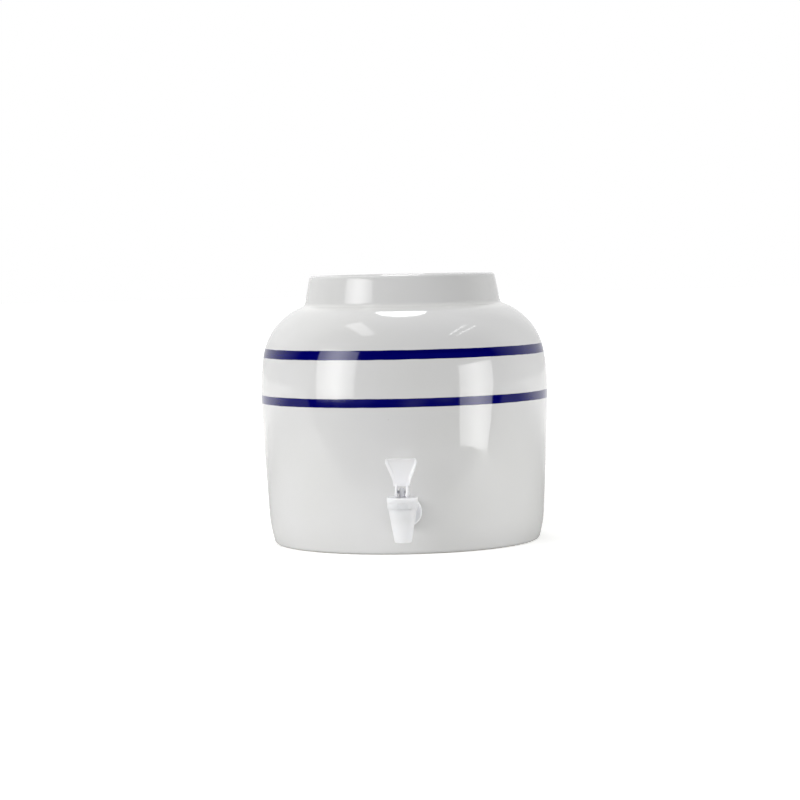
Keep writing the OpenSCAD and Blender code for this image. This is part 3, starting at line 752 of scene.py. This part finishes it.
class CROCK_OT_tap_body(CrockOperator, Operator):
    """Mould the spout, arm, flange and threaded shank"""

    bl_idname = "crock.tap_body"
    bl_label = "Tap Body"

    waterway, bead_heights = 8, (7.4, 9.2)
    thread_root, thread_crest, thread_start, thread_stop = 7.1, 8.0, 34.0, 54.6
    crest_from, crest_to, ridge_to = 0.36, 0.5, 0.86

    def execute(self, context):
        self.read(context)
        spout = turn("tap_moulding", ring([
            (5.5, -24.3, 0.5), (7.35, -24.3, 0.7), (12.55, 5.6, 0.4), (11, 5.6), (11, 10.8, 0.5),
            (8.8, 10.8, 0.3), (8.8, -4.9, 0.3), (5.5, -8.2, 0.4),
        ]))
        arm = turn("arm", rounded([
            (0, 9.0), (7.0, 9.0), (6.3, 10.6), (5.75, 12.4, 1.5), (5.5, 14.6, 4), (5.5, 16.0, 8),
            (7.6, 26.53, 1.2), (12.5, 26.53, 0.25), (12.5, 26.03, 0.3), (13.7, 26.03, 0.8),
            (13.7, 29.03, 0.5), (8.0, 29.03, 0.4), (8.0, 33.0, 0.4), (7.2, 33.8, 0.3), (7.2, 54.6, 0.6),
            (6.4, 55.8), (0, 55.8),
        ]), axis="Y")
        carve(spout, arm, "UNION")
        carve(spout, rod("drill", self.waterway, 2, 60, "Y", 48))
        join(spout, self.thread(), *self.beads())
        self.hand_over(spout, "vessel", "tap_plastic", ["tap_body"], self.at_tap)
        return self.done()

    def thread(self):
        """A screw thread along the shank, from one ridge wound round it, rooted half a millimetre deep."""
        root, crest, start = self.thread_root, self.thread_crest, self.thread_start
        pitch = self.tap.thread_pitch * 1000
        turns = (self.thread_stop - start - pitch) / pitch
        ridge = [
            (root - 0.5, start), (root, start), (crest, start + pitch * self.crest_from),
            (crest, start + pitch * self.crest_to), (root, start + pitch * self.ridge_to),
            (root - 0.5, start + pitch * self.ridge_to),
        ]
        piece = draw_line("thread", [Vector((r, h, 0)) for r, h in ridge + ridge[:1]])
        bpy.ops.mesh.remove_doubles(threshold=2e-4)
        fit(
            piece, "SCREW", axis="Y", angle=math.tau * turns, screw_offset=pitch * turns,
            steps=int(36 * turns), render_steps=int(36 * turns), use_normal_calculate=True,
        )
        self.close_ends(piece)
        return piece

    def beads(self):
        """Two beads on the collar, which the bonnet's thread grips."""
        r, crest = 10.8, 11.01
        return [
            turn("bead", ring([(r, z - 0.5), (crest, z - 0.2, 0.1), (crest, z + 0.2, 0.1), (r, z + 0.5)]))
            for z in self.bead_heights
        ]

    def close_ends(self, piece):
        """Fills the two ends of a wound shape and turns its faces outwards."""
        take(piece, True)
        bpy.ops.mesh.select_mode(type="EDGE")
        bpy.ops.mesh.select_all(action="DESELECT")
        bpy.ops.mesh.select_non_manifold()
        bpy.ops.mesh.edge_face_add()
        tidy_faces()
        bpy.ops.object.mode_set(mode="OBJECT")


class CROCK_OT_bonnet(CrockOperator, Operator):
    """Turn the screwed bonnet and set its grip ribs round it"""

    bl_idname = "crock.bonnet"
    bl_label = "Bonnet"

    first_rib = -80

    def execute(self, context):
        self.read(context)
        bonnet = turn("bonnet_cap", ring([
            (11.02, 5.6, 0.2), (13.2, 5.6, 0.3), (13.2, 11.0, 0.25), (13.55, 11.35, 0.25), (13.55, 15.2, 0.8),
            (2.68, 15.2, 0.25), (2.68, 12.4), (11.02, 12.4),
        ]))
        bar = soften(box_block("rib", (12.6, -0.65, 5.65), (13.54, 0.65, 11.4)), 0.22, 3)
        ribs = [bar] + [twin(bar) for _ in range(1, self.tap.ribs)]
        for i, rib in enumerate(ribs):
            angle = self.first_rib + (i + 0.5) * 360 / self.tap.ribs
            carve(bonnet, shift(rib, Matrix.Rotation(math.radians(angle), 4, "Z")), "UNION")
        self.hand_over(bonnet, "vessel", "tap_plastic", ["bonnet"], self.at_tap)
        return self.done()


class CROCK_OT_lever(CrockOperator, Operator):
    """Mould the forked lever with its cam feet and dished paddle, and press in its pin"""

    bl_idname = "crock.lever"
    bl_label = "Lever and Pin"

    pin_height, pin_r, pin_end, pin_bevel = 19.8, 1.25, 5.3, 0.2
    throat, top, foot, waist, edge = 6.1, 29.5, 5.1, 10.2, 25.3
    foot_half, waist_half, top_half, foot_depth, top_depth = 7, 7.7, 13.65, 6.4, 4.4
    bow_r, rim, dish_depth, corner_r = 60, 2.3, 2.1, 1.2
    cam_r, cam_rest, cheek_in, cheek_t, pin_hole = 4, 4.5, 4.0, 1.6, 2.54

    def execute(self, context):
        self.read(context)
        at_pin = self.at_tap @ Matrix.Translation((0, 0, self.pin_height))
        lever = self.paddle()
        cheek = self.cheek()
        other = shift(twin(cheek), Matrix.Rotation(math.pi, 4, "Z"))
        carve(lever, cheek, "UNION")
        carve(lever, other, "UNION")
        self.hand_over(lever, "lever", "tap_plastic", ["lever"], at_pin)
        r, end, bevel = self.pin_r, self.pin_end, self.pin_bevel
        pin = turn("lever_pin_rod", [
            (0, -end), (r - bevel, -end), (r, -end + bevel), *[(r, h) for h in range(-4, 5, 2)],
            (r, end - bevel), (r - bevel, end), (0, end),
        ], 48, "X")
        self.hand_over(pin, "lever", "stainless", ["lever_pin"], at_pin)
        return self.done()

    def half_width(self, up):
        """Half the paddle's width at a height above the pin."""
        if up < self.waist:
            share = (up - self.foot) / (self.waist - self.foot)
            return self.foot_half + (self.waist_half - self.foot_half) * share
        share = (up - self.waist) / (self.edge - self.waist)
        return min(self.top_half, self.waist_half + (self.top_half - self.waist_half) * share)

    def bow(self, up):
        """Forward bow of the blade at a height above the pin."""
        return self.bow_r - math.sqrt(self.bow_r ** 2 - max(0.0, up - self.throat) ** 2)

    def along(self, up):
        """Share of the way from the blade's throat to its top."""
        return (up - self.throat) / (self.top - self.throat)

    def depth(self, up):
        """Thickness of the blade at a height above the pin."""
        return self.foot_depth - (self.foot_depth - self.top_depth) * max(0.0, self.along(up))

    def paddle(self):
        """The blade, from a block sliced across, flared row by row, dished in front and rounded."""
        half = self.foot_half
        blade = box_block("lever_paddle", (-half, -3.2, self.foot), (half, 3.2, self.top))
        take(blade, True)
        rows = (8.2, 10.2, 12.0, 13.9, 15.8, 17.7, 19.6, 21.5, 23.4, 25.3, 26.6)
        cuts = [((0, 0, up), (0, 0, 1)) for up in rows]
        cuts += [((side, 0, 0), (1, 0, 0)) for side in (-3.5, 0, 3.5)]
        for place, normal in cuts:
            bpy.ops.mesh.select_all(action="SELECT")
            bpy.ops.mesh.bisect(plane_co=place, plane_no=normal)
        push(blade, lambda co: (
            co.x * (self.half_width(co.z) / half - 1),
            -self.bow(co.z) + co.y * (self.depth(co.z) / self.foot_depth - 1),
            0,
        ))
        bpy.ops.mesh.select_mode(type="FACE")
        mesh = bmesh.from_edit_mesh(blade.data)
        for face in mesh.faces:
            face.select_set(face.normal.y < -0.7)
        bmesh.update_edit_mesh(blade.data)
        bpy.ops.mesh.inset(thickness=self.rim, use_even_offset=True, use_boundary=True)
        mesh = bmesh.from_edit_mesh(blade.data)
        dish = {v.index for face in mesh.faces if face.select for v in face.verts}
        push(blade, lambda co: (0, self.dish(round(co.z, 3)), 0), dish)
        self.round_corners(blade)
        return soften(blade, self.tap.edge * 1000, 3, 28)

    def dish(self, up):
        """How deep the finger field is pressed in: quickly at its foot, and level to its top."""
        return self.dish_depth * math.sin(min(1.0, 0.15 + 1.1 * self.along(up)) * math.pi / 2)

    def round_corners(self, blade):
        """Rounds the paddle's two top corners, seen from the front."""
        take(blade, True)
        bpy.ops.mesh.select_mode(type="EDGE")
        mesh = bmesh.from_edit_mesh(blade.data)
        top, side = self.top - 0.01, self.top_half - 0.05
        for item in mesh.edges:
            item.select = all(v.co.z > top and abs(v.co.x) > side for v in item.verts)
        bmesh.update_edit_mesh(blade.data)
        bpy.ops.mesh.bevel(offset=self.corner_r, segments=5, affect="EDGES")
        bpy.ops.object.mode_set(mode="OBJECT")

    def cheek(self):
        """A cheek, cut from plate and drilled. Its cam foot is a flat under the pin, then an involute."""
        cam = []
        for tilt in range(0, 51, 5):
            s, c = math.sin(math.radians(tilt)), math.cos(math.radians(tilt))
            reach = self.cam_rest + self.cam_r * math.radians(tilt)
            cam.append((reach * s + self.cam_r * c, -reach * c + self.cam_r * s))
        front = cam + [(3.2, 6.1), (2.4, 7.2)]
        side = front + [(-y, z) for y, z in reversed(front)]
        piece = draw_line("cheek", [Vector((self.cheek_in, y, z)) for y, z in side + side[:1]])
        bpy.ops.mesh.remove_doubles(threshold=2e-4)
        bpy.ops.mesh.select_all(action="SELECT")
        bpy.ops.mesh.edge_face_add()
        bpy.ops.mesh.extrude_region_move(TRANSFORM_OT_translate={"value": (self.cheek_t, 0, 0)})
        tidy_faces()
        soften(piece, 0.25, 2, 50)
        return carve(piece, rod("drill", self.pin_hole, 2, 7, "X", 32))


class CROCK_OT_stem(CrockOperator, Operator):
    """Turn the stem and drill it for the pin"""

    bl_idname = "crock.stem"
    bl_label = "Stem"

    stem_r, straight_top, pin_hole = 2.6, 21, 2.66

    def execute(self, context):
        self.read(context)
        r, top = self.stem_r, self.straight_top
        outline = rounded([
            (0, -5.5), (3.4, -5.5, 1.0), (3.4, -1.5, 0.5), (2.2, -1.5, 0.2), (2.2, 1.9, 0.2), (5.2, 1.9, 0.3),
            (5.2, 3.9, 0.3), (r, 3.9, 0.4), (r, top), *arc((0, top), r, 0, 90, 0.5)[1:-1], (0, top + r),
        ])
        stem = turn("stem_rod", stepped(outline, 4), 72)
        at_pin = Matrix.Translation((0, 0, CROCK_OT_lever.pin_height))
        carve(stem, shift(rod("drill", self.pin_hole, -5, 5, "X", 40), at_pin))
        self.hand_over(stem, "stem", "tap_plastic", ["stem"], self.at_tap)
        return self.done()


class CROCK_OT_seals(CrockOperator, Operator):
    """Mould the seat cup and the two gaskets"""

    bl_idname = "crock.seals"
    bl_label = "Seals"

    gasket_r, gasket_bore = 12.7, 8.1

    def execute(self, context):
        self.read(context)
        cup = turn("seat_cup_moulding", rounded(self.cup_outline()), 72)
        self.hand_over(cup, "vessel", "silicone", ["seat_cup"], self.at_tap)
        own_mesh(cup)
        for name, node, start, stop, depth, how in (
            ("outer_gasket_ring", "outer_gasket", 29.03, 37.0, -0.1, "DIFFERENCE"),
            ("inner_gasket_ring", "inner_gasket", 37.5, 43.8, 8.1, "INTERSECT"),
        ):
            r, bore = self.gasket_r, self.gasket_bore
            outline = ring([(bore, start), (r, start, 0.45), (r, stop, 0.45), (bore, stop)])
            gasket = turn(name, outline, axis="Y")
            carve(shift(gasket, self.at_tap), self.wall_former(depth), how)
            self.hand_over(gasket, "vessel", "silicone", [node])
        return self.done()

    def cup_outline(self):
        """Section of the cup: plug, wall with two rings for give, flange, and the hollow for the bulb."""
        wall = [(7.0, -6.56, 0.3)]
        for z in (2.6, 6.4):
            wall += [(7.0, z - 0.9, 0.3), (6.72, z - 0.3, 0.3), (6.72, z + 0.3, 0.3), (7.0, z + 0.9, 0.3)]
        return [
            (0, -8.06), (5.5, -8.06, 0.3), *wall, (7.0, 10.8, 0.6), (10.9, 10.8, 0.3), (10.9, 12.4, 0.3),
            (5.8, 12.4, 0.4), (5.8, 1.8, 0.4), (2.3, 1.8, 0.2), (2.3, -1.4, 0.2), (3.5, -1.4, 0.5),
            (3.5, -5.6, 1.0), (0, -5.6),
        ]

    def wall_former(self, depth):
        """A cone with the crock's taper at a depth under its face, which shapes a gasket to the wall."""
        low, high = 10, 80
        foot_r, top_r = (self.curves.wall_radius(z, depth) for z in (low, high))
        clear_hands()
        bpy.ops.mesh.primitive_cone_add(
            vertices=720, radius1=foot_r, radius2=top_r, depth=high - low, location=(0, 0, (low + high) / 2)
        )
        return shift(named("former"))


class CROCK_OT_spring(CrockOperator, Operator):
    """Wind the return spring"""

    bl_idname = "crock.spring"
    bl_label = "Return Spring"

    low, high, coil_r, wire_d, dead_turns, gap = 4.0, 12.3, 4.6, 0.9, 0.75, 0.03

    def execute(self, context):
        self.read(context)
        clear_hands()
        bpy.ops.curve.primitive_nurbs_path_add()
        wire = named("spring_wire")
        wire.data.splines.clear()
        line = wire.data.splines.new("POLY")
        points = self.winding()
        line.points.add(len(points) - 1)
        for point, place in zip(line.points, points):
            point.co = (*place, 1.0)
        wire.data.dimensions = "3D"
        wire.data.bevel_depth = self.wire_d / 2
        wire.data.bevel_resolution = 3
        wire.data.use_fill_caps = True
        take(wire)
        bpy.ops.object.convert(target="MESH")
        bpy.ops.object.mode_set(mode="EDIT")
        tidy_faces()
        self.hand_over(wire, "vessel", "stainless", ["return_spring"], self.at_tap)
        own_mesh(wire)
        return self.done()

    def winding(self):
        """Middle of the wire: an end turn lies close at each end, and the rest is wound open."""
        turns, dead, close_pitch = self.tap.spring_turns, self.dead_turns, self.wire_d + self.gap
        open_pitch = (self.high - self.low - self.wire_d - 2 * dead * close_pitch) / (turns - 2 * dead)
        points = []
        for i in range(int(turns * 40) + 1):
            done = i / 40
            rise = min(done, dead) * close_pitch
            rise += max(0.0, min(done, turns - dead) - dead) * open_pitch
            rise += max(0.0, done - (turns - dead)) * close_pitch
            x, y = self.coil_r * math.cos(math.tau * done), self.coil_r * math.sin(math.tau * done)
            points.append((x, y, self.low + self.wire_d / 2 + rise))
        return points


class CROCK_OT_nut(CrockOperator, Operator):
    """Mould the hexagon nut that clamps the shank"""

    bl_idname = "crock.nut"
    bl_label = "Clamp Nut"

    face, height, hex_r, washer_r, bore_r = 43.807, 7, 14.43, 14.834, 8.02

    def execute(self, context):
        self.read(context)
        face, height, washer_r, bore_r = self.face, self.height, self.washer_r, self.bore_r
        clear_hands()
        bpy.ops.mesh.primitive_cylinder_add(
            vertices=6, radius=self.hex_r, depth=height, location=(0, face + height / 2, 0),
            rotation=(math.radians(90), 0, 0),
        )
        nut = soften(shift(named("clamp_nut_hex")), 0.5, 3, 40)
        crown = turn("crown", [
            (0, face - 1), (14.9, face - 1), (14.9, face + 4.8), (12.9, face + 7.2), (0, face + 7.2),
        ], axis="Y")
        carve(nut, crown, "INTERSECT")
        washer = rounded([(0, face), (washer_r, face, 0.4), (washer_r, face + 2, 0.5), (0, face + 2)])
        carve(nut, turn("washer", washer, axis="Y"), "UNION")
        carve(nut, turn("bore", [
            (0, face - 1), (8.6, face - 1), (8.6, face), (bore_r, face + 0.6), (bore_r, face + height - 0.6),
            (8.6, face + height), (8.6, face + 8), (0, face + 8),
        ], axis="Y"))
        self.hand_over(nut, "vessel", "tap_plastic", ["clamp_nut"], self.at_tap)
        return self.done()


class CROCK_OT_stage(CrockOperator, Operator):
    """Set the floor, the backdrop, the lamps and the camera"""

    bl_idname = "crock.stage"
    bl_label = "Stage"

    white, dark = (1, 1, 1, 1), (0.01, 0.01, 0.01, 1)
    floor_size, sensor, lens = 30, 36, 113.01
    camera_place, camera_pan, camera_dip, camera_roll = (0, -2.3377, 0.2627), 0.104, 0.0565, -0.0222

    def execute(self, context):
        self.read(context)
        self.floor()
        self.backdrop(context.scene)
        self.softboxes(context)
        self.camera(context)
        context.scene.view_settings.view_transform = "Standard"
        return self.done()

    def floor(self):
        """White paper under the object. Only the camera sees its glow, which is full far off and weak
        close by, where the object's shadow lies. In front it ends at 0.34 m. Beyond that all is dark but
        for some pale patches far off, which only the lower band mirrors."""
        clear_hands()
        bpy.ops.mesh.primitive_grid_add(x_subdivisions=2, y_subdivisions=2, size=self.floor_size)
        floor = named("floor")
        material = bpy.data.materials.new("pale_floor")
        material.use_nodes = True
        material.node_tree.nodes.clear()
        add = partial(add_node, material.node_tree)
        place = add("TexCoord", out="Object")
        back = add("SeparateXYZ", [place], "Y")
        away = add("VectorMath", [place], "Value", operation="LENGTH")
        sight = add("LightPath", out=None)
        mottle = add("TexNoise", {"Vector": place, "Scale": per_metre(400), "Detail": 2.0})
        paper = add("Mix", {0: mottle, 6: linear("#EDEDEB"), 7: linear("#E8E8E6")}, 2, data_type="RGBA")
        front = add("MapRange", [back, -0.38, -0.30, 1.0, 0.0])
        unseen = add("Math", [front, sight["Is Camera Ray"]], operation="SUBTRACT")
        colour = add("Mix", {0: unseen, 6: paper, 7: self.dark}, 2, data_type="RGBA")
        spread = add("BsdfDiffuse", {"Color": colour})
        lift = add("MapRange", [away, 0.3, 0.8, self.lamps.floor_glow, 1.0])
        for_camera = add("Math", [lift, sight["Is Camera Ray"]], operation="MULTIPLY")
        behind = add("MapRange", [back, 0.4, 1.2, 0.0, self.lamps.backdrop])
        patches = add("TexNoise", {"Vector": place, "Scale": per_metre(900), "Detail": 1.0})
        patches = add("MapRange", [patches, 0.40, 0.62, 0.02, 0.40])
        far = add("MapRange", [back, -1.8, -1.2, 1.0, 0.0])
        pale = add("Math", [far, patches], operation="MULTIPLY")
        around = add("Math", [behind, pale], operation="ADD")
        for_gloss = add("Math", [around, sight["Is Glossy Ray"]], operation="MULTIPLY")
        glow = add("Math", [for_camera, for_gloss], operation="ADD")
        glow = add("Emission", {"Color": self.white, "Strength": glow})
        add("OutputMaterial", {"Surface": add("AddShader", [spread, glow])})
        floor.data.materials.append(material)

    def backdrop(self, scene):
        """What the glaze mirrors is a white backdrop that bends round the back, and dark in front. What
        lights the object besides the lamps is a few wide fills, which leave no mirrored shape."""
        lamps = self.lamps
        scene.world = world = bpy.data.worlds.new("studio")
        world.use_nodes = True
        world.node_tree.nodes.clear()
        add = partial(add_node, world.node_tree)
        sight = add("LightPath", out=None)
        seen = self.glow_from(add, (
            ((0.12, 0.89, 0.44), 0.08, 0.62, lamps.backdrop),
            ((0, 0.8, 0.6), 0.80, 0.95, lamps.upper_back),
        ))
        fills = self.glow_from(add, (
            ((-0.71, -0.43, 0.56), 0.85, 0.98, lamps.left_fill),
            ((0.94, 0.34, 0.0), 0.75, 0.96, lamps.right_fill),
            ((0, -0.34, 0.94), 0.45, 0.90, lamps.top_fill),
            ((0, -1, 0), 0.50, 0.95, lamps.front_fill),
            ((0, 0.98, 0.2), 0.30, 0.80, lamps.back_fill),
        ))
        glow = add("Mix", {0: sight["Is Glossy Ray"], 2: fills, 3: seen}, data_type="FLOAT")
        plain = add("Math", [sight["Is Camera Ray"], sight["Is Transmission Ray"]], operation="MAXIMUM")
        glow = add("Mix", {0: plain, 2: glow, 3: 1.0}, data_type="FLOAT")
        glow = add("Background", {"Color": self.white, "Strength": glow})
        add("OutputWorld", {"Surface": glow})

    def glow_from(self, add, sources):
        """Sum of soft glows, by direction, the nearness where each starts and is full, and its level."""
        way = add("TexCoord", out="Generated")
        total = None
        for direction, start, full, strength in sources:
            near = add("VectorMath", [way, direction], "Value", operation="DOT_PRODUCT")
            glow = add("MapRange", [near, start, full, 0.0, strength])
            total = glow if total is None else add("Math", [total, glow], operation="ADD")
        return total

    def softboxes(self, context):
        """Each lamp by its name, middle, aim, width and height in metres, shape, level, share of that
        level at its rim and share of its width at its foot."""
        lamps, box, oval = self.lamps, "RECTANGLE", "ELLIPSE"
        for name, middle, aim, wide, tall, shape, strength, rim, foot in (
            (
                "left_softbox", (-0.806, -0.602, 0.36), (-0.061, -0.118, 0.205), 0.6, 0.58, box,
                lamps.left_lamp, 0.45, 1,
            ),
            (
                "right_softbox", (0.496, -0.37, 0.147), (0.065, -0.116, 0.147), 0.31, 0.29, box,
                lamps.right_lamp, 0.55, 0.6,
            ),
            (
                "top_softbox", (-0.01, 0.427, 1.4), (-0.002, -0.104, 0.214), 0.4, 0.6, oval,
                lamps.top_lamp, 1, 1,
            ),
            ("left_tubes", (-0.96, -0.50, 2.3), (-0.96, -0.50, 0), 0.42, 1.25, box, lamps.left_tube, 1, 1),
            ("right_tube_a", (1.36, -0.50, 2.3), (1.36, -0.50, 0), 0.07, 1.15, box, lamps.right_tube, 1, 1),
            ("right_tube_b", (1.64, -0.43, 2.3), (1.64, -0.43, 0), 0.07, 1.25, box, lamps.right_tube, 1, 1),
        ):
            lamp = bpy.data.lights.new(name, "AREA")
            lamp.shape = shape
            lamp.size, lamp.size_y = wide, tall
            lamp.energy = strength * wide * tall * math.pi * (math.pi / 4 if shape == oval else 1)
            self.cloth(lamp, rim, foot)
            softbox = bpy.data.objects.new(name, lamp)
            context.collection.objects.link(softbox)
            softbox.visible_camera = False
            softbox.location = middle
            softbox.rotation_mode = "QUATERNION"
            softbox.rotation_quaternion = (Vector(middle) - Vector(aim)).to_track_quat("Z", "Y")

    def cloth(self, lamp, rim, foot):
        """The lamp's cloth front, brightest along its middle. Where it is tapered, its right side is cut
        away towards its foot."""
        lamp.use_nodes = True
        lamp.node_tree.nodes.clear()
        add = partial(add_node, lamp.node_tree)
        parts = add("SeparateXYZ", [add("NewGeometry", out="Parametric")], None)
        across = add("Math", [parts["X"], 0.5], operation="SUBTRACT")
        side = add("Math", [across], operation="ABSOLUTE")
        glow = add("MapRange", [side, 0.0, 0.5, 1.0, rim], interpolation_type="SMOOTHSTEP")
        if foot < 1:
            half = add("MapRange", [parts["Y"], 0.0, 0.5, foot / 2, 0.52])
            inside = add("Math", [across, half], operation="LESS_THAN")
            glow = add("Math", [glow, inside], operation="MULTIPLY")
        add("OutputLight", {"Surface": add("Emission", {"Strength": glow})})

    def camera(self, context):
        """The photograph's view: 2.34 m off, a little above the rim, looking 3.2 degrees down, tipped by 1.3
        degrees."""
        camera = bpy.data.objects.new("camera", bpy.data.cameras.new("camera"))
        context.collection.objects.link(camera)
        camera.data.sensor_width = self.sensor
        camera.data.lens = self.lens
        camera.matrix_world = (
            Matrix.Translation(self.camera_place)
            @ Matrix.Rotation(math.radians(self.camera_pan), 4, "Z")
            @ Matrix.Rotation(math.pi / 2 - self.camera_dip, 4, "X")
            @ Matrix.Rotation(self.camera_roll, 4, "Z")
        )
        context.scene.camera = camera


STEPS = (
    CROCK_OT_crock, CROCK_OT_bands, CROCK_OT_tap_body, CROCK_OT_bonnet, CROCK_OT_lever, CROCK_OT_stem,
    CROCK_OT_seals, CROCK_OT_spring, CROCK_OT_nut, CROCK_OT_stage,
)
GROUPS = {
    "crock_shape": CrockShape, "tap_shape": TapShape, "crock_finishes": Finishes, "crock_studio": Studio,
}


class CROCK_PT_steps(Panel):
    """The steps and the sizes they use"""

    bl_idname = "CROCK_PT_steps"
    bl_label = "Porcelain Water Crock"
    bl_space_type = "VIEW_3D"
    bl_region_type = "UI"
    bl_category = "Crock"

    def draw(self, context):
        for step in STEPS:
            self.layout.operator(step.bl_idname)
        for name in GROUPS:
            box, group = self.layout.box(), getattr(context.scene, name)
            for setting in group.bl_rna.properties:
                if setting.identifier not in ("rna_type", "name"):
                    box.prop(group, setting.identifier)


def register():
    for name, group in GROUPS.items():
        bpy.utils.register_class(group)
        setattr(bpy.types.Scene, name, PointerProperty(type=group))
    for step in (*STEPS, CROCK_PT_steps):
        bpy.utils.register_class(step)


def unregister():
    for step in reversed((*STEPS, CROCK_PT_steps)):
        bpy.utils.unregister_class(step)
    for name, group in reversed(GROUPS.items()):
        delattr(bpy.types.Scene, name)
        bpy.utils.unregister_class(group)


def main():
    """Makes every piece and the stage."""
    register()
    for step in STEPS:
        kind, name = step.bl_idname.split(".")
        getattr(getattr(bpy.ops, kind), name)()


if __name__ == "__main__":
    main()
